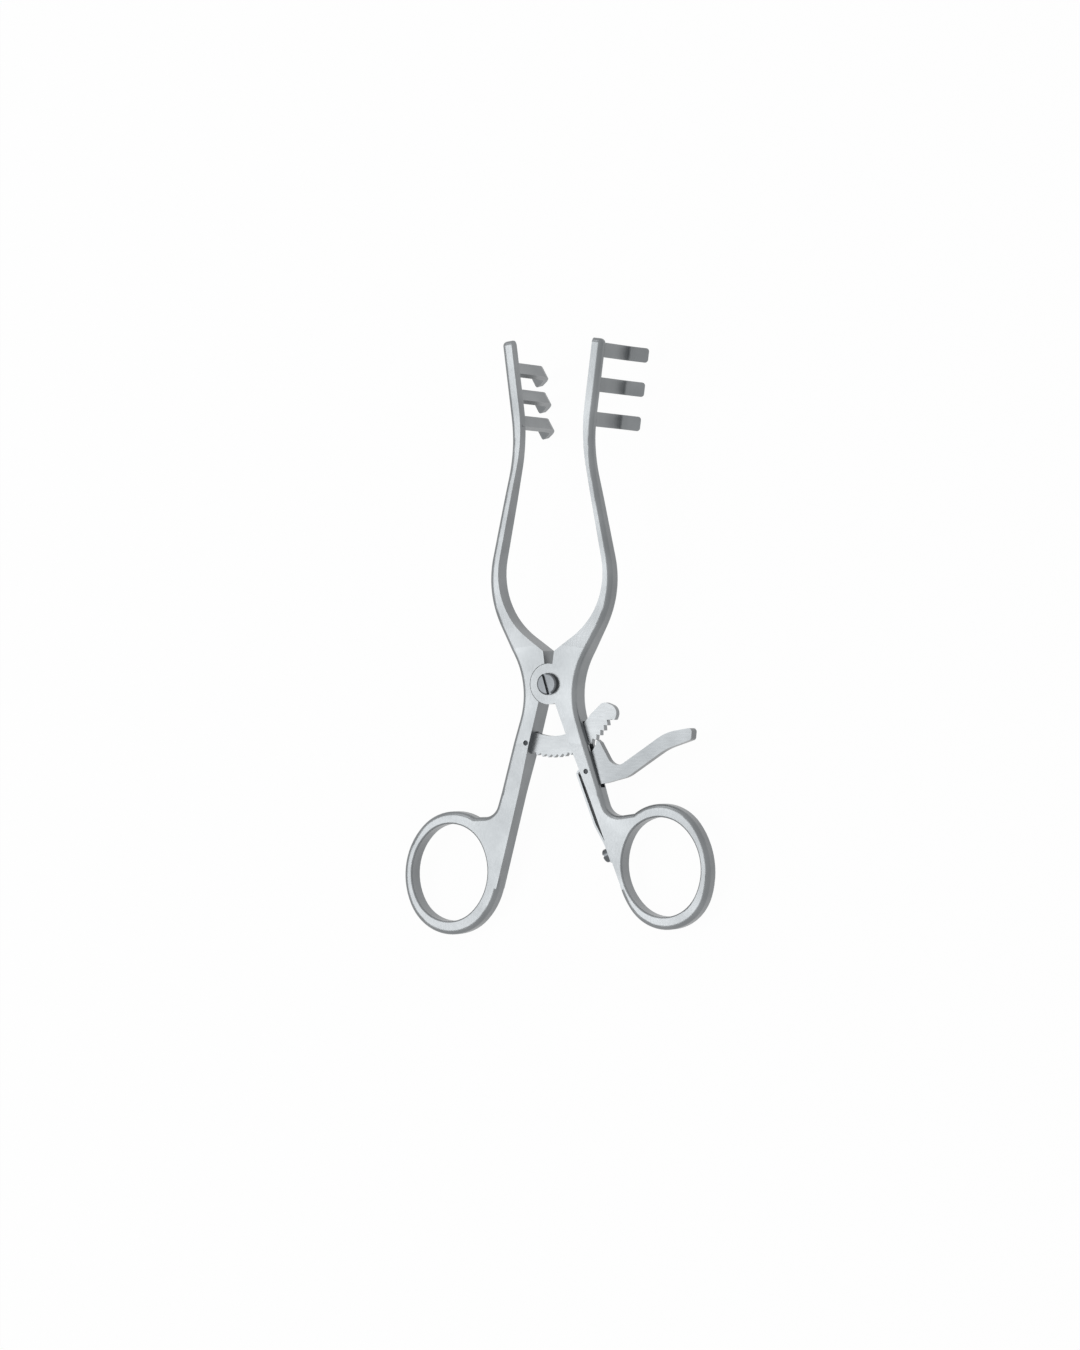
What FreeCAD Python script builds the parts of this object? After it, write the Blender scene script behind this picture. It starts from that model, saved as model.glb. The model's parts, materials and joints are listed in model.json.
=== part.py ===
import FreeCAD, Part
import math
import os

import Sketcher

# Self retaining retractor: two ring handled arms on a screw joint, held open by a toothed rack
# and a sprung lever. Each arm is drawn closed, with its blade against the plane X = 0, the pivot
# at the origin, the tips towards +Y and the front face towards +Z, then turned to its rest angle.

SIZES = [
    # arms
    ("rest_half_angle", "7.5"),
    ("tip_reach", "76.1"),
    ("closed_gap", "0.05"),
    ("blade_width", "2.4"),
    ("blade_length", "21.6"),
    ("blade_outer_length", "23.6"),
    ("blade_root_radius", "40"),
    ("bow_inner_across", "12.3"),
    ("bow_inner_along", "18.4"),
    ("bow_inner_radius", "17"),
    ("bow_outer_across", "13.4"),
    ("bow_outer_along", "21.6"),
    ("bow_outer_radius", "22"),
    ("neck_across", "5.0"),
    ("neck_along", "0.2"),
    ("neck_radius", "18"),
    ("crotch_along", "7.3"),
    ("notch_across", "0.4"),
    ("tip_corner_radius", "1.0"),
    ("valley_radius", "3.5"),
    # thickness of the arms, front to back
    ("joint_thickness", "5.5"),
    ("bow_taper_start", "8.8"),
    ("bow_taper_end", "16.4"),
    ("bow_thickness", "4.3"),
    ("mid_blade_along", "41.4"),
    ("mid_blade_thickness", "3.6"),
    ("tip_flat_length", "22.6"),
    ("tip_thickness", "2.6"),
    ("face_radius", "60"),
    ("ring_thickness", "4.0"),
    ("shank_face_radius", "30"),
    ("shank_taper_start", "12"),
    ("shank_taper_end", "22.6"),
    ("outer_edge_radius", "1.0"),
    ("hole_edge_radius", "0.4"),
    ("ring_seam", "0.55"),
    # finger rings
    ("ring_hole_width", "18.7"),
    ("ring_hole_length", "21.6"),
    ("oval_shoulder", "0.8"),
    ("ring_join", "1.5"),
    ("ring_length", "27.3"),
    ("ring_tilt", "17"),
    ("shank_root_along", "2.5"),
    ("left_ring_width", "23.8"),
    ("left_ring_shift", "-0.55"),
    ("left_ring_across", "30.2"),
    ("left_ring_along", "38.1"),
    ("left_shank_root", "2.5"),
    ("left_flank_angle", "22.24"),
    ("left_heel_along", "43.0"),
    ("left_valley_across", "17.6"),
    ("left_valley_along", "27.2"),
    ("right_ring_width", "22.3"),
    ("right_ring_shift", "0.3"),
    ("right_ring_across", "31.7"),
    ("right_ring_along", "35.7"),
    ("right_shank_root", "1.3"),
    ("right_flank_angle", "28.9"),
    ("right_heel_along", "42.0"),
    ("right_valley_across", "17.7"),
    ("right_valley_along", "26.9"),
    # prongs
    ("left_prong_back", "17.7"),
    ("left_prong_pitch", "5.9"),
    ("left_prong_width", "2.85"),
    ("right_prong_back", "17.6"),
    ("right_prong_pitch", "7.6"),
    ("right_prong_width", "3.2"),
    ("prong_count", "3"),
    ("left_prong_inset", "0.6"),
    ("right_prong_inset", "0.3"),
    ("prong_thickness", "1.4"),
    ("prong_straight", "14.0"),
    ("prong_bend_radius", "3.5"),
    ("prong_bend", "62"),
    ("prong_foot", "2.0"),
    ("left_prong_turn", "22"),
    ("right_prong_turn", "0"),
    ("prong_corner_radius", "0.7"),
    # screw joint
    ("lug_radius", "4.45"),
    ("lug_clearance", "0.1"),
    ("lap_gap", "0.06"),
    ("pivot_screw_diameter", "3.0"),
    ("pivot_running_gap", "0.04"),
    ("screw_head_diameter", "4.8"),
    ("screw_head_height", "1.1"),
    ("screw_slot_width", "0.9"),
    ("screw_slot_depth", "0.6"),
    ("screw_slot_angle", "107"),
    ("screw_edge_radius", "0.45"),
    ("screw_head_gap", "0.03"),
    # ratchet rack, in angles from -Y towards +X
    ("rack_band_width", "4.7"),
    ("tooth_tip_radius", "16.1"),
    ("tooth_depth", "0.75"),
    ("tooth_pitch", "5"),
    ("tooth_steep_angle", "30"),
    ("tooth_ramp_angle", "50"),
    ("tooth_gaps", "16"),
    ("rack_thickness", "1.6"),
    ("rack_root_angle", "38"),
    ("rack_end_angle", "54.5"),
    ("rack_slot_gap", "0.15"),
    ("rack_slot_end_angle", "10"),
    ("rack_pin_inset", "2.0"),
    ("rack_pin_angle", "31"),
    ("rack_pin_length", "5.0"),
    ("lever_pin_length", "4.2"),
    ("pin_diameter", "1.15"),
    # end lobe of the rack
    ("lobe_start_angle", "47.5"),
    ("lobe_low_angle", "65.5"),
    ("lobe_low_rise", "-3.2"),
    ("lobe_low_corner", "1.7"),
    ("lobe_high_angle", "64.5"),
    ("lobe_high_rise", "0.9"),
    ("lobe_high_corner", "2.0"),
    ("lobe_face_angle", "54.8"),
    ("lobe_face_corner", "0.3"),
    # release lever, drawn with its nose in a gap of the rack
    ("lever_pin_across", "11.3"),
    ("lever_pin_along", "17.7"),
    ("lever_thickness", "1.8"),
    ("thumb_thickness", "2.6"),
    ("thumb_taper_start", "8.5"),
    ("thumb_taper_end", "21"),
    ("lever_reach", "30"),
    ("nose_angle", "47"),
    ("nose_clearance", "0.1"),
    ("nose_length", "0.9"),
    ("nose_steep_width", "0.35"),
    ("nose_ramp_width", "0.8"),
    ("engage_angle", "8.2"),
    # window through the right shank
    ("window_inner_gap", "0.4"),
    ("window_outer_radius", "25.5"),
    ("window_low_angle", "5"),
    ("window_high_angle", "75"),
    ("window_side_gap", "0.1"),
    # leaf spring
    ("spring_screw_along", "34.6"),
    ("spring_thickness", "0.45"),
    ("spring_width", "3.4"),
    ("spring_foot", "2.0"),
    ("spring_rise", "5"),
    ("spring_rise_radius", "6"),
    ("spring_stand_off", "0.85"),
    ("spring_length", "19.6"),
    ("spring_hook", "1.2"),
    ("spring_hook_radius", "0.6"),
    ("spring_screw_diameter", "1.6"),
    ("spring_screw_depth", "2.2"),
    ("spring_head_diameter", "3.0"),
    ("spring_head_height", "1.5"),
    ("spring_head_edge", "0.3"),
    ("spring_slot_width", "0.5"),
    ("spring_slot_depth", "0.35"),
]

# Corners of the release lever that aren't its nose, from its pin: across, along, corner radius.
LEVER_CORNERS = {
    "lever_hollow": ("5.77", "2.04", "2.6"),
    "lever_crest": ("15.6", "13.3", "11"),
    "thumb_top": ("21.45", "16.1", "0.8"),
    "thumb_end": ("21.95", "13.5", "0.8"),
    "lever_under": ("16.6", "9.85", "12"),
    "lever_belly": ("9.3", "1.4", "6"),
    "lever_knee": ("4.82", "-1.23", "3"),
    "lever_heel": ("-0.15", "-3.62", "0.2"),
    "lever_back": ("-1.5", "1.3", "2"),
}
for corner_name, numbers in LEVER_CORNERS.items():
    for suffix, number in zip(("across", "along", "radius"), numbers):
        SIZES.append((f"{corner_name}_{suffix}", number))

doc = FreeCAD.newDocument("retractor")
sheet = doc.addObject("Spreadsheet::Sheet", "sizes")
for row, (alias, text) in enumerate(SIZES, 1):
    sheet.set(f"A{row}", alias)
    sheet.set(f"B{row}", text)
    sheet.setAlias(f"B{row}", alias)
doc.recompute()


def size(alias):
    """The number in a cell of the sheet."""
    return float(getattr(sheet, alias))


def value(formula):
    """The number that a formula over the sheet gives."""
    return float(sheet.evalExpression(formula))


def new_body(name):
    body = doc.addObject("PartDesign::Body", name)
    body.Label = name
    return body


def plane(body, role):
    """One of the body's own origin planes."""
    return [feature for feature in body.Origin.OriginFeatures if feature.Role == role][0]


def new_sketch(body, name, role="XY_Plane", lift=None):
    """A sketch on an origin plane of its body, lifted along the plane's normal by a formula."""
    sketch = body.newObject("Sketcher::SketchObject", name)
    sketch.AttachmentSupport = [(plane(body, role), "")]
    sketch.MapMode = "FlatFace"
    if lift:
        sketch.setExpression("AttachmentOffset.Base.z", lift)
    return sketch


def bind(sketch, constraints, formulas):
    """Adds constraints and ties the dimensions among them to their formulas."""
    first = sketch.ConstraintCount
    sketch.addConstraint(constraints)
    for offset, formula in formulas:
        sketch.setExpression(f"Constraints[{first + offset}]", formula)


def add_outline(sketch, corners):
    """A closed outline of straight sides. Each corner is (across, along, radius) in formulas."""
    count = len(corners)
    points = [FreeCAD.Vector(value(x), value(y), 0) for x, y, _ in corners]
    starts, ends, centres = [], [], []
    for index in range(count):
        back = (points[index - 1] - points[index]).normalize()
        ahead = (points[(index + 1) % count] - points[index]).normalize()
        radius = value(corners[index][2]) if corners[index][2] else 0.0
        half = back.getAngle(ahead) / 2
        starts.append(points[index] + back * (radius / math.tan(half)))
        ends.append(points[index] + ahead * (radius / math.tan(half)))
        centres.append(points[index] + (back + ahead).normalize() * (radius / math.sin(half)))
    lines = [
        sketch.addGeometry(Part.LineSegment(ends[index], starts[(index + 1) % count]), False)
        for index in range(count)
    ]
    constraints, formulas = [], []
    for index, (across, along, radius) in enumerate(corners):
        before, after = lines[index - 1], lines[index]
        if not radius:
            constraints.append(Sketcher.Constraint("Coincident", before, 2, after, 1))
            held = (after, 1)
        else:
            turn = (points[index] - points[index - 1]).cross(points[(index + 1) % count] - points[index])
            first, last = (starts[index], ends[index]) if turn.z > 0 else (ends[index], starts[index])
            angles = [math.atan2(*reversed((point - centres[index])[:2])) for point in (first, last)]
            circle = Part.Circle(centres[index], FreeCAD.Vector(0, 0, 1), value(radius))
            arc = sketch.addGeometry(Part.ArcOfCircle(circle, *angles), False)
            corner = sketch.addGeometry(Part.Point(points[index]), True)
            near, far = (1, 2) if turn.z > 0 else (2, 1)
            constraints.append(Sketcher.Constraint("Tangent", before, 2, arc, near))
            constraints.append(Sketcher.Constraint("Tangent", arc, far, after, 1))
            formulas.append((len(constraints), radius))
            constraints.append(Sketcher.Constraint("Radius", arc, value(radius)))
            constraints.append(Sketcher.Constraint("PointOnObject", corner, 1, before))
            constraints.append(Sketcher.Constraint("PointOnObject", corner, 1, after))
            held = (corner, 1)
        formulas.append((len(constraints), across))
        constraints.append(Sketcher.Constraint("DistanceX", -1, 1, *held, points[index].x))
        formulas.append((len(constraints), along))
        constraints.append(Sketcher.Constraint("DistanceY", -1, 1, *held, points[index].y))
    bind(sketch, constraints, formulas)


def add_circle(sketch, across, along, diameter):
    """A circle whose centre and diameter follow formulas."""
    centre = FreeCAD.Vector(value(across), value(along), 0)
    circle = Part.Circle(centre, FreeCAD.Vector(0, 0, 1), value(diameter) / 2)
    index = sketch.addGeometry(circle, False)
    bind(
        sketch,
        [
            Sketcher.Constraint("DistanceX", -1, 1, index, 3, centre.x),
            Sketcher.Constraint("DistanceY", -1, 1, index, 3, centre.y),
            Sketcher.Constraint("Diameter", index, value(diameter)),
        ],
        [(0, across), (1, along), (2, diameter)],
    )


def add_sector(sketch, inner, outer, low, high):
    """A ring sector about the pivot. Angles run from -Y towards +X, in formulas of degrees."""
    radii = (value(inner), value(outer))
    angles = [math.radians(value(angle) - 90) for angle in (low, high)]
    up = FreeCAD.Vector(0, 0, 1)
    arcs = [
        sketch.addGeometry(Part.ArcOfCircle(Part.Circle(FreeCAD.Vector(), up, radius), *angles), False)
        for radius in radii
    ]
    corners = [
        [FreeCAD.Vector(radius * math.cos(angle), radius * math.sin(angle), 0) for radius in radii]
        for angle in angles
    ]
    sides = [sketch.addGeometry(Part.LineSegment(*pair), False) for pair in corners]
    axis = sketch.addGeometry(Part.LineSegment(FreeCAD.Vector(), FreeCAD.Vector(0, -1, 0)), True)
    constraints = [
        Sketcher.Constraint("Coincident", arcs[0], 3, -1, 1),
        Sketcher.Constraint("Coincident", arcs[1], 3, -1, 1),
        Sketcher.Constraint("Radius", arcs[0], radii[0]),
        Sketcher.Constraint("Radius", arcs[1], radii[1]),
        Sketcher.Constraint("Coincident", axis, 1, -1, 1),
        Sketcher.Constraint("Vertical", axis),
        Sketcher.Constraint("DistanceY", -1, 1, axis, 2, -1.0),
    ]
    for number, side in enumerate(sides):
        constraints.append(Sketcher.Constraint("Coincident", side, 1, arcs[0], number + 1))
        constraints.append(Sketcher.Constraint("Coincident", side, 2, arcs[1], number + 1))
        constraints.append(Sketcher.Constraint("PointOnObject", -1, 1, side))
        constraints.append(Sketcher.Constraint("Angle", axis, 1, side, 1, angles[number] + math.pi / 2))
    bind(sketch, constraints, [(2, inner), (3, outer), (10, low), (14, high)])


def feature(body, kind, name, sketch, length=None, **settings):
    """A sketch based feature whose length follows a formula."""
    made = body.newObject(f"PartDesign::{kind}", name)
    made.Profile = sketch
    for key, setting in settings.items():
        setattr(made, key, setting)
    if length:
        made.setExpression("Length", length)
    sketch.Visibility = False
    doc.recompute()
    return made


def pad(body, name, sketch, length, midplane=True):
    return feature(body, "Pad", name, sketch, length, Midplane=midplane)


def pocket(body, name, sketch, length, midplane=True, reverse=False):
    """A pocket that is sure to take metal away."""
    before = body.Shape.Volume
    made = feature(body, "Pocket", name, sketch, length, Midplane=midplane, Reversed=reverse)
    assert body.Shape.Volume < before - 1e-6, f"{name} cuts nothing"
    return made


def fillet(body, name, radius, chosen):
    """Rounds the edges of the body's tip for which chosen(edge) is true."""
    base = body.Tip
    names = [f"Edge{number}" for number, edge in enumerate(base.Shape.Edges, 1) if chosen(edge)]
    made = body.newObject("PartDesign::Fillet", name)
    made.Base = (base, names)
    made.setExpression("Radius", radius)
    doc.recompute()
    return made


def hole(body, name, across, along, diameter, length="2 * sizes.joint_thickness"):
    """A round hole square through the plate."""
    sketch = new_sketch(body, f"{name}_sketch")
    add_circle(sketch, across, along, diameter)
    return pocket(body, name, sketch, length)


HALF_JOINT = "sizes.joint_thickness / 2"
HALF_LAP = "sizes.lap_gap / 2"
BLADE_ROOT = "(sizes.tip_reach - sizes.blade_length)"
BLADE_OUTER_ROOT = "(sizes.tip_reach - sizes.blade_outer_length)"
RACK_INNER = "(sizes.tooth_tip_radius - sizes.rack_band_width)"
RACK_PIN = "(sizes.tooth_tip_radius - sizes.rack_pin_inset)"


def flank_across(side, along):
    """How far the inner flank of a shank stands from the Y axis, so far down from the pivot."""
    slope = f"tan(sizes.{side}_flank_angle)"
    return f"(sizes.{side}_shank_root + ({along} - sizes.shank_root_along) * {slope})"


def heel_across(side):
    return flank_across(side, f"sizes.{side}_heel_along")


def polar(radius, angle):
    """Across and along of a point about the pivot, for an angle from -Y towards +X."""
    return f"{radius} * sin({angle})", f"-1 * {radius} * cos({angle})"


def thickness_cut(body, side):
    """Thins the arm from its joint towards the tip and the ring, the same on both faces."""
    far = "1.2 * sizes.tip_reach"
    high = "sizes.joint_thickness"
    sketch = new_sketch(body, f"{side}_thickness_sketch", "YZ_Plane")
    for sign in ("", "-1 * "):
        add_outline(sketch, [
            ("sizes.bow_taper_start", f"{sign}{HALF_JOINT}", None),
            ("sizes.bow_taper_end", f"{sign}sizes.bow_thickness / 2", "sizes.face_radius"),
            ("sizes.mid_blade_along", f"{sign}sizes.mid_blade_thickness / 2", "sizes.face_radius"),
            ("sizes.tip_reach - sizes.tip_flat_length", f"{sign}sizes.tip_thickness / 2", "sizes.face_radius"),
            (far, f"{sign}sizes.tip_thickness / 2", None),
            (far, f"{sign}{high}", None),
            ("sizes.bow_taper_start", f"{sign}{high}", None),
        ])
        add_outline(sketch, [
            ("-1 * sizes.shank_taper_start", f"{sign}{HALF_JOINT}", None),
            ("-1 * sizes.shank_taper_end", f"{sign}sizes.ring_thickness / 2", "sizes.shank_face_radius"),
            ("-1 * sizes.tip_reach", f"{sign}sizes.ring_thickness / 2", None),
            ("-1 * sizes.tip_reach", f"{sign}{high}", None),
            ("-1 * sizes.shank_taper_start", f"{sign}{high}", None),
        ])
    pocket(body, f"{side}_thickness", sketch, "4 * sizes.tip_reach")


def add_oval(sketch, across, along, width, length, tilt):
    """An oval of four tangent arcs whose long axis leans from the Y axis by the tilt."""
    end_radius = f"(({width}) / 2 - sizes.oval_shoulder)"
    end_offset = f"(({length}) / 2 - {end_radius})"
    side_radius = (f"((pow({end_offset}; 2) + pow(({width}) / 2; 2) - pow({end_radius}; 2))"
                   f" / (2 * sizes.oval_shoulder))")
    side_offset = f"({side_radius} - ({width}) / 2)"
    lean = math.radians(value(tilt))
    swing = math.atan2(value(end_offset), value(side_offset))
    up = FreeCAD.Vector(0, 0, 1)
    arcs, constraints, formulas = [], [], []
    for sign in ("", "-1 * "):
        for radius, x, y, half, middle in (
            (side_radius, f"-1 * {side_offset} * cos({tilt})", f"-1 * {side_offset} * sin({tilt})", swing, 0),
            (end_radius, f"-1 * {end_offset} * sin({tilt})", f"{end_offset} * cos({tilt})",
             math.pi / 2 - swing, math.pi / 2),
        ):
            place = (f"{across} + {sign}({x})", f"{along} + {sign}({y})")
            centre = FreeCAD.Vector(value(place[0]), value(place[1]), 0)
            turn = lean + middle + (math.pi if sign else 0)
            circle = Part.Circle(centre, up, value(radius))
            arc = sketch.addGeometry(Part.ArcOfCircle(circle, turn - half, turn + half), False)
            arcs.append(arc)
            formulas.append((len(constraints), radius))
            constraints.append(Sketcher.Constraint("Radius", arc, value(radius)))
            if radius == end_radius:
                formulas.append((len(constraints), place[0]))
                constraints.append(Sketcher.Constraint("DistanceX", -1, 1, arc, 3, centre.x))
                formulas.append((len(constraints), place[1]))
                constraints.append(Sketcher.Constraint("DistanceY", -1, 1, arc, 3, centre.y))
    for arc, following in zip(arcs, arcs[1:] + arcs[:1]):
        constraints.append(Sketcher.Constraint("Tangent", arc, 2, following, 1))
    bind(sketch, constraints, formulas)


def add_prongs(body, side, turned):
    """Three blunt prongs: flat strips that drop from the blade and curve outwards."""
    half = "sizes.prong_thickness / 2"
    across = half
    half_bend = "tan(sizes.prong_bend / 2)"
    corner = f"(sizes.prong_straight + sizes.prong_bend_radius * {half_bend})"
    reach = f"(sizes.prong_bend_radius * {half_bend} + sizes.prong_foot)"
    end_x = f"({across} + {reach} * sin(sizes.prong_bend))"
    end_z = f"({corner} + {reach} * cos(sizes.prong_bend))"
    sketch = new_sketch(body, f"{side}_prong_sketch", "XZ_Plane",
                        f"sizes.{side}_prong_back - sizes.tip_reach")
    sketch.AttachmentOffset = FreeCAD.Placement(FreeCAD.Vector(), FreeCAD.Rotation(FreeCAD.Vector(0, 1, 0), 1))
    sketch.setExpression("AttachmentOffset.Base.x", f"{turned}(sizes.closed_gap + sizes.{side}_prong_inset)")
    sketch.setExpression("AttachmentOffset.Rotation.Angle", f"{turned}(-1 * sizes.{side}_prong_turn)")
    add_outline(sketch, [
        (f"{turned}({across} - {half})", "0", None),
        (f"{turned}({across} + {half})", "0", None),
        (f"{turned}({across} + {half})", f"{half} * {half_bend} - {corner}",
         f"sizes.prong_bend_radius - {half}"),
        (f"{turned}({end_x} + {half} * cos(sizes.prong_bend))",
         f"{half} * sin(sizes.prong_bend) - {end_z}", None),
        (f"{turned}({end_x} - {half} * cos(sizes.prong_bend))",
         f"-1 * {half} * sin(sizes.prong_bend) - {end_z}", None),
        (f"{turned}({across} - {half})", f"-1 * {half} * {half_bend} - {corner}",
         f"sizes.prong_bend_radius + {half}"),
    ])
    prong = pad(body, f"{side}_prong", sketch, f"sizes.{side}_prong_width")
    pattern = body.newObject("PartDesign::LinearPattern", f"{side}_prongs")
    pattern.Originals = [prong]
    pattern.Direction = (plane(body, "Y_Axis"), [""])
    pattern.setExpression("Length", f"sizes.{side}_prong_pitch * (sizes.prong_count - 1)")
    pattern.setExpression("Occurrences", "sizes.prong_count")
    body.Tip = pattern
    doc.recompute()
    tip_depth = value(f"{corner}")
    width = size("prong_thickness")
    fillet(body, f"{side}_prong_corners", "sizes.prong_corner_radius", lambda edge: (
        edge.CenterOfMass.z < -tip_depth and abs(edge.Length - width) < 0.01
    ))


def build_arm(side, across):
    """One forged half: blade, bow, lap joint, shank and ring. across is the sign of its X."""
    body = new_body(f"{side}_arm")
    turned = "" if across > 0 else "-1 * "
    ring_across = f"{turned}sizes.{side}_ring_across"
    ring_along = f"-1 * sizes.{side}_ring_along"
    tilt = "sizes.ring_tilt" if across > 0 else "-1 * sizes.ring_tilt"
    ring_top = "(sizes.ring_hole_length / 2 + sizes.ring_join)"

    planform = new_sketch(body, f"{side}_planform")
    add_outline(planform, [
        (f"{turned}sizes.closed_gap", "sizes.tip_reach", None),
        (f"{turned}sizes.closed_gap", BLADE_ROOT, "sizes.blade_root_radius"),
        (f"{turned}sizes.bow_inner_across", "sizes.bow_inner_along", "sizes.bow_inner_radius"),
        (f"{turned}sizes.notch_across", "sizes.crotch_along", None),
        (f"{turned}sizes.notch_across", "0", None),
        (f"{turned}sizes.{side}_shank_root", "-1 * sizes.shank_root_along", None),
        (f"{turned}{heel_across(side)}", f"-1 * sizes.{side}_heel_along", None),
        (ring_across, ring_along, None),
        (f"{turned}(sizes.{side}_ring_across - {ring_top} * sin(sizes.ring_tilt))",
         f"-1 * sizes.{side}_ring_along + {ring_top} * cos(sizes.ring_tilt)", None),
        (f"{turned}sizes.{side}_valley_across", f"-1 * sizes.{side}_valley_along", "sizes.valley_radius"),
        (f"{turned}sizes.neck_across", "sizes.neck_along", "sizes.neck_radius"),
        (f"{turned}sizes.bow_outer_across", "sizes.bow_outer_along", "sizes.bow_outer_radius"),
        (f"{turned}(sizes.closed_gap + sizes.blade_width)", BLADE_OUTER_ROOT, "sizes.blade_root_radius"),
        (f"{turned}(sizes.closed_gap + sizes.blade_width)", "sizes.tip_reach", "sizes.tip_corner_radius"),
    ])
    pad(body, f"{side}_forging", planform, "sizes.joint_thickness")
    thickness_cut(body, side)
    opening = new_sketch(body, f"{side}_ring_opening_sketch")
    add_oval(opening, ring_across, ring_along, "sizes.ring_hole_width + 2 * sizes.ring_seam",
             "sizes.ring_hole_length + 2 * sizes.ring_seam", tilt)
    pocket(body, f"{side}_ring_opening", opening, "2 * sizes.joint_thickness")
    round_outer_edges(body, side, across)
    ring = build_ring(side, ring_across, ring_along, turned, tilt)
    joined = body.newObject("PartDesign::Boolean", f"{side}_ring_join")
    joined.setObjects([ring])
    joined.Type = "Fuse"
    body.Tip = joined
    doc.recompute()
    return body, turned


def build_ring(side, ring_across, ring_along, turned, tilt):
    """A finger ring by itself, flat, with a rounded outside and a broken edge at its hole."""
    body = new_body(f"{side}_ring")
    shift = f"sizes.{side}_ring_shift"
    outline = new_sketch(body, f"{side}_ring_sketch")
    add_oval(outline, f"{ring_across} + {turned}{shift} * cos(sizes.ring_tilt)",
             f"{ring_along} + {shift} * sin(sizes.ring_tilt)", f"sizes.{side}_ring_width",
             "sizes.ring_length", tilt)
    pad(body, f"{side}_ring_disc", outline, "sizes.ring_thickness")
    fillet(body, f"{side}_ring_edges", "sizes.outer_edge_radius",
           lambda edge: abs(edge.CenterOfMass.z) > size("ring_thickness") / 4)
    finger_hole = new_sketch(body, f"{side}_ring_hole_sketch")
    add_oval(finger_hole, ring_across, ring_along, "sizes.ring_hole_width", "sizes.ring_hole_length", tilt)
    pocket(body, f"{side}_ring_hole", finger_hole, "2 * sizes.ring_thickness")
    centre = FreeCAD.Vector(value(ring_across), value(ring_along), size("ring_thickness") / 2)
    reach = size("ring_hole_length") / 2 + size("hole_edge_radius") / 4
    fillet(body, f"{side}_hole_edges", "sizes.hole_edge_radius", lambda edge: (
        abs(edge.CenterOfMass.z) > size("ring_thickness") / 4
        and all(FreeCAD.Vector(point.x, point.y, centre.z).distanceToPoint(centre) < reach
                for point in (vertex.Point for vertex in edge.Vertexes))
    ))
    return body


def round_outer_edges(body, side, across):
    """Rounds the arm's outer side and leaves its inner flank crisp."""
    shape = body.Shape.copy()
    probe = size("outer_edge_radius") / 5
    ring = FreeCAD.Vector(across * size(f"{side}_ring_across"), -size(f"{side}_ring_along"), 0)
    opening_reach = size("ring_hole_length") / 2 + size("ring_seam") * 1.2

    def outer(edge):
        middle_at = (edge.FirstParameter + edge.LastParameter) / 2
        along = edge.tangentAt(middle_at)
        middle = edge.valueAt(middle_at)
        if abs(along.z) > 0.5 or abs(middle.z) < size("tip_thickness") / 4:
            return False
        flat = FreeCAD.Vector(middle.x, middle.y, 0)
        out = FreeCAD.Vector(along.y, -along.x, 0).normalize()
        solid = [shape.isInside(flat + out * step, probe / 100, False) for step in (-probe, probe)]
        if solid[0] == solid[1] or (flat - ring).Length < opening_reach:
            return False
        if solid[1]:
            out = -out
        at_tip = out.y > 0.5 and flat.y > value(BLADE_ROOT)
        return at_tip or out.x * across > 0.1

    fillet(body, f"{side}_outer_edges", "sizes.outer_edge_radius", outer)


def lap_half(body, side, front):
    """The lug of one arm and the seat that it leaves for the other arm's lug."""
    low = HALF_LAP if front else f"-1 * {HALF_JOINT}"
    seat = new_sketch(body, f"{side}_seat_sketch", lift=f"-1 * {HALF_JOINT}" if front else f"-1 * {HALF_LAP}")
    add_circle(seat, "0", "0", "2 * (sizes.lug_radius + sizes.lug_clearance)")
    pocket(body, f"{side}_seat", seat, f"{HALF_JOINT} + {HALF_LAP}", False, True)
    lug = new_sketch(body, f"{side}_lug_sketch", lift=low)
    add_circle(lug, "0", "0", "2 * sizes.lug_radius")
    pad(body, f"{side}_lug", lug, f"{HALF_JOINT} - {HALF_LAP}", False)


def band_cut(body, name, inner, outer, low, high, thickness):
    """A slot in the middle of the plate, along an arc about the pivot."""
    sketch = new_sketch(body, f"{name}_sketch")
    add_sector(sketch, inner, outer, low, high)
    pocket(body, name, sketch, thickness)


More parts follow.
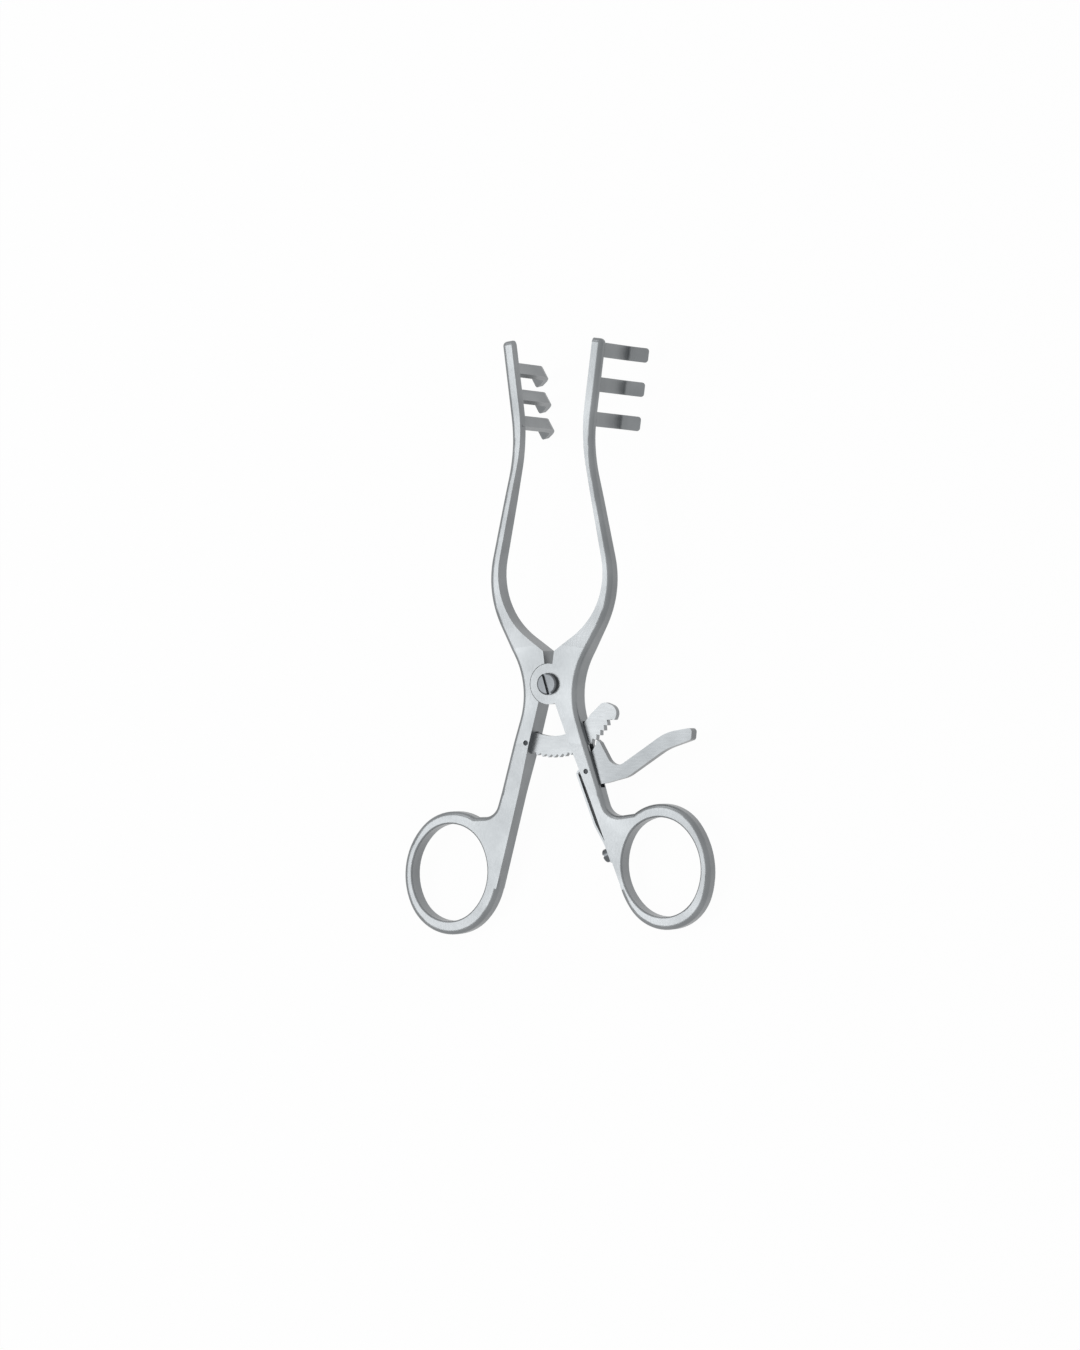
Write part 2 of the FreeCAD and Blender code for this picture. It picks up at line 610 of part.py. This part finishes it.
def build_rack():
    """A toothed arc about the pivot, drawn in the left arm's frame, with a stop at its free end."""
    body = new_body("ratchet_rack")
    band = new_sketch(body, "band_sketch")
    add_sector(band, RACK_INNER, "sizes.tooth_tip_radius", "-1 * sizes.rack_root_angle",
               "sizes.lobe_start_angle")
    pad(body, "band", band, "sizes.rack_thickness")
    lobe = new_sketch(body, "lobe_sketch")
    add_outline(lobe, [
        (*polar(RACK_INNER, "sizes.lobe_start_angle"), None),
        (*polar("(sizes.tooth_tip_radius + sizes.lobe_low_rise)", "sizes.lobe_low_angle"), "sizes.lobe_low_corner"),
        (*polar("(sizes.tooth_tip_radius + sizes.lobe_high_rise)", "sizes.lobe_high_angle"), "sizes.lobe_high_corner"),
        (*polar("(sizes.tooth_tip_radius + sizes.lobe_high_rise)", "sizes.lobe_face_angle"), "sizes.lobe_face_corner"),
        (*polar("sizes.tooth_tip_radius", "sizes.rack_end_angle"), None),
        (*polar("sizes.tooth_tip_radius", "sizes.lobe_start_angle"), None),
    ])
    pad(body, "lobe", lobe, "sizes.rack_thickness")
    rise = "(1.5 * sizes.tooth_depth)"
    gap = new_sketch(body, "tooth_gap_sketch")
    first = "(sizes.nose_angle + sizes.tooth_pitch)"
    root_x, root_y = polar("(sizes.tooth_tip_radius - sizes.tooth_depth)", first)
    corners = [(root_x, root_y, None)]
    for swing in ("tan(sizes.tooth_steep_angle)", "-1 * tan(sizes.tooth_ramp_angle)"):
        corners.append((
            f"{root_x} + {rise} * (sin({first}) + {swing} * cos({first}))",
            f"{root_y} + {rise} * ({swing} * sin({first}) - cos({first}))", None,
        ))
    add_outline(gap, corners)
    first_gap = pocket(body, "tooth_gap", gap, "2 * sizes.rack_thickness")
    pattern = body.newObject("PartDesign::PolarPattern", "tooth_gaps")
    pattern.Originals = [first_gap]
    pattern.Axis = (plane(body, "Z_Axis"), [""])
    pattern.Reversed = True
    pattern.setExpression("Angle", "sizes.tooth_pitch * (sizes.tooth_gaps - 1)")
    pattern.setExpression("Occurrences", "sizes.tooth_gaps")
    body.Tip = pattern
    doc.recompute()
    hole(body, "rack_pin_bore", *polar(RACK_PIN, "(-1 * sizes.rack_pin_angle)"),
         "sizes.pin_diameter")
    return body


def build_pin(name, across, along, length):
    body = new_body(name)
    sketch = new_sketch(body, f"{name}_sketch")
    add_circle(sketch, across, along, "sizes.pin_diameter")
    pad(body, f"{name}_rod", sketch, length)
    return body


def build_lever():
    """A pawl with a thumb plate, drawn with its nose in a tooth gap of the rack."""
    body = new_body("release_lever")
    root = "(sizes.tooth_tip_radius - sizes.tooth_depth + sizes.nose_clearance)"
    tip_x, tip_y = polar(root, "sizes.nose_angle")
    base_x, base_y = polar(f"({root} + sizes.nose_length)", "sizes.nose_angle")
    corners = [
        (tip_x, tip_y, None),
        (f"{base_x} + sizes.nose_steep_width * cos(sizes.nose_angle)",
         f"{base_y} + sizes.nose_steep_width * sin(sizes.nose_angle)", None),
    ]
    for name in LEVER_CORNERS:
        corners.append((f"sizes.lever_pin_across + sizes.{name}_across",
                        f"sizes.{name}_along - sizes.lever_pin_along", f"sizes.{name}_radius"))
    corners.append((f"{base_x} - sizes.nose_ramp_width * cos(sizes.nose_angle)",
                    f"{base_y} - sizes.nose_ramp_width * sin(sizes.nose_angle)", None))
    outline = new_sketch(body, "lever_outline")
    add_outline(outline, corners)
    pad(body, "lever_plate", outline, "sizes.thumb_thickness")
    taper = new_sketch(body, "lever_taper_sketch", "XZ_Plane")
    for sign in ("", "-1 * "):
        add_outline(taper, [
            ("-1 * sizes.lever_reach", f"{sign}sizes.lever_thickness / 2", None),
            ("sizes.lever_pin_across + sizes.thumb_taper_start", f"{sign}sizes.lever_thickness / 2", None),
            ("sizes.lever_pin_across + sizes.thumb_taper_end", f"{sign}sizes.thumb_thickness / 2", None),
            ("sizes.lever_pin_across + sizes.thumb_taper_end", f"{sign}sizes.thumb_thickness", None),
            ("-1 * sizes.lever_reach", f"{sign}sizes.thumb_thickness", None),
        ])
    pocket(body, "lever_taper", taper, "4 * sizes.lever_reach")
    hole(body, "lever_bore", "sizes.lever_pin_across", "-1 * sizes.lever_pin_along",
         "sizes.pin_diameter + 2 * sizes.pivot_running_gap")
    return body


def revolve(body, kind, name, sketch, axis):
    made = feature(body, kind, name, sketch, ReferenceAxis=(sketch, [axis]), Angle=360.0)
    return made


def build_pivot_screw():
    """A slotted screw fixed in the left arm's lug. The right arm turns on its shank."""
    body = new_body("pivot_screw")
    profile = new_sketch(body, "pivot_screw_profile", "XZ_Plane")
    under = f"{HALF_JOINT} + sizes.screw_head_gap"
    top = f"{under} + sizes.screw_head_height"
    add_outline(profile, [
        ("0", f"-1 * {HALF_JOINT}", None),
        ("sizes.pivot_screw_diameter / 2", f"-1 * {HALF_JOINT}", None),
        ("sizes.pivot_screw_diameter / 2", under, None),
        ("sizes.screw_head_diameter / 2", under, None),
        ("sizes.screw_head_diameter / 2", top, "sizes.screw_edge_radius"),
        ("0", top, None),
    ])
    revolve(body, "Revolution", "pivot_screw_turned", profile, "V_Axis")
    slot = new_sketch(body, "pivot_screw_slot_sketch", lift=top)
    turn = "(sizes.screw_slot_angle - sizes.rest_half_angle)"
    corners = []
    for end, edge in (("", "-1 * "), ("", ""), ("-1 * ", ""), ("-1 * ", "-1 * ")):
        long = f"{end}sizes.screw_head_diameter"
        wide = f"{edge}sizes.screw_slot_width / 2"
        corners.append((f"{long} * cos({turn}) - ({wide}) * sin({turn})",
                        f"{long} * sin({turn}) + ({wide}) * cos({turn})", None))
    add_outline(slot, corners)
    pocket(body, "pivot_screw_slot", slot, "sizes.screw_slot_depth", False)
    return body


def flank_sketch(body, name):
    """A sketch whose X axis leaves the right shank's inner flank at the spring screw."""
    sketch = new_sketch(body, name)
    turn = FreeCAD.Rotation(FreeCAD.Vector(0, 0, 1), 180 + size("right_flank_angle"))
    sketch.AttachmentOffset = FreeCAD.Placement(FreeCAD.Vector(), turn)
    sketch.setExpression("AttachmentOffset.Base.x", flank_across("right", "sizes.spring_screw_along"))
    sketch.setExpression("AttachmentOffset.Base.y", "-1 * sizes.spring_screw_along")
    sketch.setExpression("AttachmentOffset.Rotation.Angle", "180 + sizes.right_flank_angle")
    return sketch


def build_spring():
    """A flat leaf on the shank's inner flank, that bears on the heel of the lever."""
    body = new_body("lever_spring")
    foot = "sizes.spring_foot"
    off = "sizes.spring_stand_off"
    thick = "sizes.spring_thickness"
    length = "sizes.spring_length"
    rise = f"-1 * {foot} - sizes.spring_rise"
    bend = "sizes.spring_rise_radius"
    profile = flank_sketch(body, "spring_profile")
    add_outline(profile, [
        ("0", foot, None),
        (thick, foot, None),
        (thick, f"-1 * {foot}", bend),
        (f"{off} + {thick}", rise, bend),
        (f"{off} + {thick}", f"-1 * {length}", f"sizes.spring_hook_radius + {thick}"),
        (f"{off} + {thick} - sizes.spring_hook", f"-1 * {length}", None),
        (f"{off} + {thick} - sizes.spring_hook", f"{thick} - {length}", None),
        (off, f"{thick} - {length}", "sizes.spring_hook_radius"),
        (off, rise, bend),
        ("0", f"-1 * {foot}", bend),
    ])
    pad(body, "spring_leaf", profile, "sizes.spring_width")
    bore = flank_sketch(body, "spring_bore_sketch")
    add_outline(bore, rectangle(f"-1 * {thick}", f"2 * {thick}", "0", "sizes.spring_screw_diameter / 2"))
    revolve(body, "Groove", "spring_bore", bore, "H_Axis")
    return body


def rectangle(low_x, high_x, low_y, high_y):
    return [(low_x, low_y, None), (high_x, low_y, None), (high_x, high_y, None), (low_x, high_y, None)]


def build_spring_screw():
    """A small slotted screw that clamps the foot of the leaf spring."""
    body = new_body("spring_screw")
    top = "sizes.spring_thickness + sizes.spring_head_height"
    profile = flank_sketch(body, "spring_screw_profile")
    add_outline(profile, [
        ("-1 * sizes.spring_screw_depth", "0", None),
        (top, "0", None),
        (top, "sizes.spring_head_diameter / 2", "sizes.spring_head_edge"),
        ("sizes.spring_thickness", "sizes.spring_head_diameter / 2", None),
        ("sizes.spring_thickness", "sizes.spring_screw_diameter / 2", None),
        ("-1 * sizes.spring_screw_depth", "sizes.spring_screw_diameter / 2", None),
    ])
    revolve(body, "Revolution", "spring_screw_turned", profile, "H_Axis")
    slot = flank_sketch(body, "spring_screw_slot_sketch")
    half = "sizes.spring_slot_width / 2"
    add_outline(slot, rectangle(f"{top} - sizes.spring_slot_depth", f"{top} + sizes.spring_slot_depth",
                                f"-1 * {half}", half))
    pocket(body, "spring_screw_slot", slot, "2 * sizes.spring_head_diameter")
    return body


left_arm, left_turned = build_arm("left", -1)
right_arm, right_turned = build_arm("right", 1)
add_prongs(left_arm, "left", left_turned)
add_prongs(right_arm, "right", right_turned)
lap_half(left_arm, "left", False)
lap_half(right_arm, "right", True)
hole(left_arm, "left_screw_bore", "0", "0", "sizes.pivot_screw_diameter")
hole(right_arm, "right_screw_bore", "0", "0", "sizes.pivot_screw_diameter + 2 * sizes.pivot_running_gap")
band_cut(left_arm, "rack_slot", f"{RACK_INNER} - sizes.rack_slot_gap",
         "sizes.tooth_tip_radius + sizes.rack_slot_gap", "-1 * sizes.rack_root_angle - sizes.rack_slot_gap",
         "-1 * sizes.rack_slot_end_angle", "sizes.rack_thickness")
band_cut(right_arm, "lever_window", f"{RACK_INNER} - sizes.window_inner_gap", "sizes.window_outer_radius",
         "sizes.window_low_angle", "sizes.window_high_angle",
         "sizes.lever_thickness + 2 * sizes.window_side_gap")
rack_pin_place = polar(RACK_PIN, "(-1 * sizes.rack_pin_angle)")
lever_pin_place = ("sizes.lever_pin_across", "-1 * sizes.lever_pin_along")
hole(left_arm, "left_rack_pin_bore", *rack_pin_place, "sizes.pin_diameter")
hole(right_arm, "right_lever_pin_bore", *lever_pin_place, "sizes.pin_diameter")
screw_bore = flank_sketch(right_arm, "spring_screw_bore_sketch")
add_outline(screw_bore, rectangle("-1 * sizes.spring_screw_depth", "sizes.spring_thickness", "0",
                                  "sizes.spring_screw_diameter / 2"))
revolve(right_arm, "Groove", "spring_screw_bore", screw_bore, "H_Axis")

pivot_screw = build_pivot_screw()
rack = build_rack()
rack_pin = build_pin("rack_pin", *rack_pin_place, "sizes.rack_pin_length")
lever = build_lever()
lever_pin = build_pin("lever_pin", *lever_pin_place, "sizes.lever_pin_length")
lever_spring = build_spring()
spring_screw = build_spring_screw()
bodies = [left_arm, rack, rack_pin, pivot_screw, right_arm, lever, lever_pin, lever_spring, spring_screw]

# Rest pose: the arms open by two half angles and the lever just clear of the rack.
up = FreeCAD.Vector(0, 0, 1)
half_angle = size("rest_half_angle")
lever_axis = FreeCAD.Vector(size("lever_pin_across"), -size("lever_pin_along"), 0)
origin = FreeCAD.Vector()
lever_back = FreeCAD.Placement(origin, FreeCAD.Rotation(up, -size("engage_angle")), lever_axis)
for body in bodies:
    turn = half_angle if body in (left_arm, rack, rack_pin, pivot_screw) else -half_angle
    body.Placement = FreeCAD.Placement(origin, FreeCAD.Rotation(up, turn))
lever.Placement = lever.Placement.multiply(lever_back)

# The instrument lies on the feet of its prongs and on the lower of its rings.
MESH_STEP = 0.02
points = [point for body in (left_arm, right_arm) for point in body.Shape.tessellate(MESH_STEP)[0]]
prong_points = [point for point in points if point.y > value(BLADE_ROOT)]
ring_points = [point for point in points if point.y < -size("right_valley_along")]


def lowest(group, angle):
    sine, cosine = math.sin(angle), math.cos(angle)
    return min(point.y * sine + point.z * cosine for point in group)


low_tilt, high_tilt = 0.0, math.radians(20)
for _ in range(40):
    tilt = (low_tilt + high_tilt) / 2
    if lowest(prong_points, tilt) < lowest(ring_points, tilt):
        low_tilt = tilt
    else:
        high_tilt = tilt
lean = FreeCAD.Rotation(FreeCAD.Vector(1, 0, 0), math.degrees(tilt))
for body in bodies:
    body.Placement = FreeCAD.Placement(origin, lean).multiply(body.Placement)
doc.recompute()
box = Part.makeCompound([body.Shape for body in bodies]).optimalBoundingBox(False, False)
shift = FreeCAD.Vector(-box.Center.x, -box.Center.y, -box.ZMin)
for body in bodies:
    body.Placement = FreeCAD.Placement(shift, FreeCAD.Rotation()).multiply(body.Placement)
doc.recompute()

for item in doc.Objects:
    assert "Invalid" not in item.State and "Error" not in item.State, f"{item.Name} is {item.State}"
for body in bodies:
    assert not body.Shape.isNull() and body.Shape.isValid(), f"{body.Label} is not valid"
    assert len(body.Shape.Solids) == 1, f"{body.Label} has {len(body.Shape.Solids)} solids"

os.makedirs("parts", exist_ok=True)
for body in bodies:
    body.Shape.exportStep(f"parts/{body.Label}.step")
    reach = body.Shape.BoundBox
    print(f"{body.Label}: volume {body.Shape.Volume:.2f}, {reach.XLength:.2f} x {reach.YLength:.2f} "
          f"x {reach.ZLength:.2f}, {len(body.Shape.Faces)} faces")
pivot = shift
lever_pivot = shift + lean.multVec(FreeCAD.Rotation(up, -half_angle).multVec(lever_axis))
axis = lean.multVec(up)
print(f"tilt {math.degrees(tilt):.4f}")
for name, vector in (("pivot", pivot), ("lever pivot", lever_pivot), ("axis", axis)):
    print(name, " ".join(f"{number:.6f}" for number in vector))
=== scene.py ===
import json
import math

import bpy
from mathutils import Matrix, Vector


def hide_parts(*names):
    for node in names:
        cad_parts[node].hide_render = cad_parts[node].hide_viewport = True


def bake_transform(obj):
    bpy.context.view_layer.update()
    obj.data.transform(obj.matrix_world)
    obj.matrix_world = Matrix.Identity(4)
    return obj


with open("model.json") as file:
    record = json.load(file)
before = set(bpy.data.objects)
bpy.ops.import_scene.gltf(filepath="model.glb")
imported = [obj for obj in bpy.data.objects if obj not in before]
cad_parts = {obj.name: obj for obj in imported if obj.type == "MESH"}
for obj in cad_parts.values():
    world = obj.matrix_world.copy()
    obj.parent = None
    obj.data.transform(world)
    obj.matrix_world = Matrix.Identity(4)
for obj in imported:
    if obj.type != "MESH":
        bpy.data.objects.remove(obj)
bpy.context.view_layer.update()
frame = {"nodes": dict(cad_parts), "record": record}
nodes = frame["nodes"]
joints = {joint["name"]: joint for joint in frame["record"]["behaviour"]["joints"]}
pivot = Vector(joints["arms_pivot"]["pos_m"])
front = Vector(joints["arms_pivot"]["axis"]).normalized()


# The camera: a long lens, square to the length of the instrument and 27 degrees to its right.
# The instrument's tips point up in the frame, and its pivot lies just below the middle.
# Lengths are in metres, except the sensor's, which is in millimetres.
camera_swing = math.radians(27)
camera_distance = 1.0
pixels_per_metre = 4570
pivot_pixel = (554.1, 683.9)
frame_size = (1080, 1350)
sensor_length = 36

across = Vector((1, 0, 0))
tips = front.cross(across)
towards_camera = across * math.sin(camera_swing) + front * math.cos(camera_swing)
image_right = across * math.cos(camera_swing) - front * math.sin(camera_swing)
aim = pivot - image_right * ((pivot_pixel[0] - frame_size[0] / 2) / pixels_per_metre)
aim += tips * ((pivot_pixel[1] - frame_size[1] / 2) / pixels_per_metre)

camera_data = bpy.data.cameras.new("camera")
camera_data.sensor_width = sensor_length
camera_data.lens = sensor_length * pixels_per_metre * camera_distance / frame_size[1]
camera = bpy.data.objects.new("camera", camera_data)
bpy.context.scene.collection.objects.link(camera)
camera_turn = Matrix((image_right, tips, towards_camera)).transposed().to_4x4()
camera.matrix_world = Matrix.Translation(aim + towards_camera * camera_distance) @ camera_turn
bpy.context.scene.camera = camera
bpy.context.scene.view_settings.view_transform = "Standard"


# The table that the instrument lies on: matt white laminate, with the instrument's soft shadow.
# Rays from the camera and from the steel find it nearly pure white, as a studio sweep is.
table_width = 6
table_glow = 0.97


def linear(code):
    """A colour for Blender from its sRGB hex value."""
    channels = [int(code[start:start + 2], 16) / 255 for start in (1, 3, 5)]
    return (*[c / 12.92 if c <= 0.04045 else ((c + 0.055) / 1.055) ** 2.4 for c in channels], 1.0)


def add(tree, kind, inputs=None, **settings):
    """A node with its settings. An input is a value, or the output that is linked to it."""
    node = tree.nodes.new(kind)
    for key, setting in settings.items():
        setattr(node, key, setting)
    for name, given in (inputs or {}).items():
        if isinstance(given, bpy.types.NodeSocket):
            tree.links.new(given, node.inputs[name])
        else:
            node.inputs[name].default_value = given
    return node


def seen_directly(tree):
    """1 for rays from the camera and from gloss or glass, 0 for the light that falls on things."""
    path = add(tree, "ShaderNodeLightPath")
    gloss = add(tree, "ShaderNodeMath", {
        0: path.outputs["Is Camera Ray"], 1: path.outputs["Is Glossy Ray"],
    }, operation="MAXIMUM")
    either = add(tree, "ShaderNodeMath", {
        0: gloss.outputs[0], 1: path.outputs["Is Transmission Ray"],
    }, operation="MAXIMUM")
    return either.outputs[0]


bpy.ops.object.select_all(action="DESELECT")
bpy.ops.mesh.primitive_plane_add(size=table_width, location=(0, 0, 0))
table = bpy.context.object
table.name = "table"
table_white = bpy.data.materials.new("matt_white_laminate")
table_white.use_nodes = True
tree = table_white.node_tree
tree.nodes.clear()
matt = add(tree, "ShaderNodeBsdfDiffuse", {"Color": linear("#f4f4f4")})
glow = add(tree, "ShaderNodeEmission", {"Color": linear("#ffffff"), "Strength": 1.0})
share = add(tree, "ShaderNodeMath", {0: seen_directly(tree), 1: table_glow}, operation="MULTIPLY")
mixed = add(tree, "ShaderNodeMixShader", {
    "Fac": share.outputs[0], 1: matt.outputs[0], 2: glow.outputs[0],
})
add(tree, "ShaderNodeOutputMaterial", {"Surface": mixed.outputs[0]})
table.data.materials.append(table_white)


# The studio: an even white room, a large softbox that the front faces mirror to the camera, and a
# weaker one further towards the tips. Faces that turn away from both go grey, which draws the
# rounded edges and the flanks.
room_light = 0.5
main_distance = 0.9
main_width = 0.5
main_radiance = 2.9
tip_distance = 1.0
tip_width = 0.4
tip_radiance = 1.2
tip_lean = 1.2
world = bpy.data.worlds.new("studio")
bpy.context.scene.world = world
world.use_nodes = True
tree = world.node_tree
tree.nodes.clear()
room = add(tree, "ShaderNodeMapRange", {
    "Value": seen_directly(tree), "To Min": room_light, "To Max": 1.0,
})
sky = add(tree, "ShaderNodeBackground", {"Color": linear("#ffffff"), "Strength": room.outputs[0]})
add(tree, "ShaderNodeOutputWorld", {"Surface": sky.outputs[0]})


def softbox(name, direction, distance, width, radiance):
    """A square lamp that faces the pivot and looks equally bright from any distance."""
    lamp = bpy.data.lights.new(name, "AREA")
    lamp.size = width
    lamp.energy = radiance * math.pi * width * width
    holder = bpy.data.objects.new(name, lamp)
    bpy.context.scene.collection.objects.link(holder)
    holder.location = pivot + direction.normalized() * distance
    holder.rotation_euler = direction.to_track_quat("Z", "Y").to_euler()


mirror_way = front * math.cos(camera_swing) - across * math.sin(camera_swing)
softbox("main_softbox", mirror_way, main_distance, main_width, main_radiance)
softbox("tip_softbox", mirror_way + tips * tip_lean, tip_distance, tip_width, tip_radiance)


# The two arms: drop forged martensitic stainless steel, ground on the flats and satin brushed along
# their length. The brushing spreads a reflection across the grain, so flats look even and pale
# and the rounded edges fade to grey. The lines are drawn wider than real ones, so that they show.
arm_line = (0.00014, 0.003, 0.00014)
line_depth = 0.00002
line_detail = 3
line_middle = (0.3, 0.7)
patch_size = 0.011
patch_detail = 2
patch_middle = (0.35, 0.65)
colour_a = 6
colour_b = 7
colour_out = 2


def steel(name, colours, line, roughness, unevenness, relief):
    """Steel with brushed lines. line is the size of one line along each axis."""
    material = bpy.data.materials.new(name)
    material.use_nodes = True
    tree = material.node_tree
    tree.nodes.clear()
    place = add(tree, "ShaderNodeTexCoord")
    stretch = add(tree, "ShaderNodeMapping", {
        "Vector": place.outputs["Object"],
        "Scale": tuple(1 / step for step in line),
    })
    lines = add(tree, "ShaderNodeTexNoise", {
        "Vector": stretch.outputs[0], "Scale": 1.0, "Detail": line_detail,
    })
    patches = add(tree, "ShaderNodeTexNoise", {
        "Vector": place.outputs["Object"], "Scale": 1 / patch_size, "Detail": patch_detail,
    })
    spread = add(tree, "ShaderNodeMapRange", {
        "Value": patches.outputs["Fac"], "From Min": patch_middle[0], "From Max": patch_middle[1],
    })
    dull = add(tree, "ShaderNodeMapRange", {
        "Value": lines.outputs["Fac"], "From Min": line_middle[0], "From Max": line_middle[1],
        "To Min": roughness - unevenness, "To Max": roughness + unevenness,
    })
    tone = add(tree, "ShaderNodeMix", {
        "Factor": spread.outputs[0], colour_a: linear(colours[0]), colour_b: linear(colours[1]),
    }, data_type="RGBA")
    bump = add(tree, "ShaderNodeBump", {
        "Height": lines.outputs["Fac"], "Strength": relief, "Distance": line_depth,
    })
    shader = add(tree, "ShaderNodeBsdfPrincipled", {
        "Base Color": tone.outputs[colour_out], "Metallic": 1.0,
        "Roughness": dull.outputs[0], "Normal": bump.outputs[0],
    })
    add(tree, "ShaderNodeOutputMaterial", {"Surface": shader.outputs[0]})
    return material


def finish_with(material, *names):
    """Give the named pieces this finish and no other."""
    for name in names:
        mesh = nodes[name].data
        mesh.materials.clear()
        mesh.materials.append(material)


forged_steel = steel(
    "satin_forged_steel", ("#7b7e80", "#888b8d"), arm_line,
    roughness=0.32, unevenness=0.03, relief=0.1,
)
finish_with(forged_steel, "left_arm", "right_arm")


# The rack: a blanked and milled arc of hardened steel with a row of saw teeth, slid into a slot in the
# left shank. It is ground along the arc, which leaves it paler and a little duller than the arms.
rack_line = (0.002, 0.00014, 0.00014)
ground_steel = steel(
    "ground_rack_steel", ("#878a8c", "#929597"), rack_line,
    roughness=0.38, unevenness=0.03, relief=0.1,
)
finish_with(ground_steel, "ratchet_rack")


# The release lever: a forged pawl of hardened steel, milled at the nose and heel, with a thumb plate
# that is bent out and polished by use. It turns on a pin through the right shank.
lever_line = (0.002, 0.0002, 0.00014)
lever_steel = steel(
    "satin_lever_steel", ("#6c6f71", "#797c7e"), lever_line,
    roughness=0.3, unevenness=0.03, relief=0.1,
)
finish_with(lever_steel, "release_lever")


# The leaf spring: a strip of rolled spring steel along the right shank's inner flank, tempered and
# left bright. Its foot is clamped by a screw, and its free end lies on the lever's heel. A copy of
# the solid stands for it here, cut finely near that end.
leaf_line = (0.00012, 0.004, 0.00012)
spring_steel = steel(
    "rolled_spring_steel", ("#717476", "#7d8082"), leaf_line,
    roughness=0.26, unevenness=0.03, relief=0.1,
)
finish_with(spring_steel, "lever_spring")
bend_length = 0.0048
bend_cuts = 12
merge_distance = 0.000001
screw_corners = [corner.co for corner in nodes["spring_screw"].data.vertices]
leaf_seat = sum(screw_corners, Vector()) / len(screw_corners)

bpy.ops.object.select_all(action="DESELECT")
leaf = bpy.data.objects.new("sprung_leaf", nodes["lever_spring"].data.copy())
bpy.context.scene.collection.objects.link(leaf)
bpy.context.view_layer.objects.active = leaf
leaf.select_set(True)
leaf_corners = [corner.co.copy() for corner in leaf.data.vertices]
leaf_end = max(leaf_corners, key=lambda place: (place - leaf_seat).length)
leaf_along = (leaf_end - leaf_seat).normalized()
bend_start = leaf_end - leaf_along * bend_length
bpy.ops.object.mode_set(mode="EDIT")
bpy.ops.mesh.select_all(action="SELECT")
bpy.ops.mesh.remove_doubles(threshold=merge_distance)
for cut in range(bend_cuts):
    bpy.ops.mesh.select_all(action="SELECT")
    bpy.ops.mesh.bisect(
        plane_co=bend_start + leaf_along * (bend_length * cut / bend_cuts), plane_no=leaf_along,
    )
bpy.ops.object.mode_set(mode="OBJECT")
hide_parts("lever_spring")
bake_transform(leaf)


# The screws: turned from stainless bar, with a slot sawn across a nearly flat head. The joint's
# screw holds the two lugs, and the small one clamps the leaf's foot.
turned_line = (0.0003, 0.0003, 0.0003)
turned_steel = steel(
    "turned_screw_steel", ("#5c5f62", "#696c6f"), turned_line,
    roughness=0.28, unevenness=0.03, relief=0.1,
)
finish_with(turned_steel, "pivot_screw", "spring_screw")


# The two cross pins: short lengths of drawn steel rod, pressed in and dressed flush with the flats.
# Their ends are coloured nearly black.
pin_line = (0.0002, 0.0002, 0.0002)
pin_steel = steel(
    "near_black_pin_steel", ("#2f3133", "#3b3d3f"), pin_line,
    roughness=0.4, unevenness=0.05, relief=0.2,
)
finish_with(pin_steel, "rack_pin", "lever_pin")
